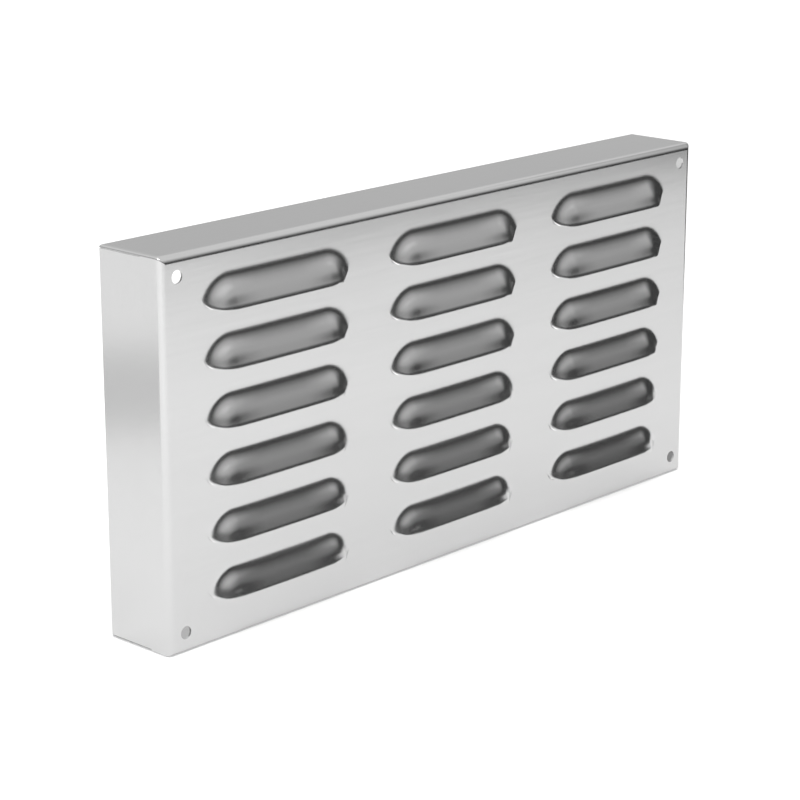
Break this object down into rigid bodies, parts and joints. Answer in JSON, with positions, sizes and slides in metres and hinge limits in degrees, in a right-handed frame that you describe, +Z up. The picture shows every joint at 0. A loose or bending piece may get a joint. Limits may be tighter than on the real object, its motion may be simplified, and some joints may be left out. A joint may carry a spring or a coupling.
{
  "type": "louvred vent panel",
  "caption": "Folded stainless sheet vent panel for a grill island: a shallow open-backed pan with rows of pressed louvres and a screw hole near each corner.",
  "frame": {"origin": "middle of the screw holes, on the outer side of the louvred face", "axes": "+X along the face's long side, -Y out of the louvred face, +Z up"},
  "size_m": [0.3682, 0.0437, 0.1778],
  "materials": {
    "stainless_sheet": "satin brushed stainless steel"
  },
  "bodies": {
    "root": {"vent_panel": "stainless_sheet"}
  },
  "joints": []
}
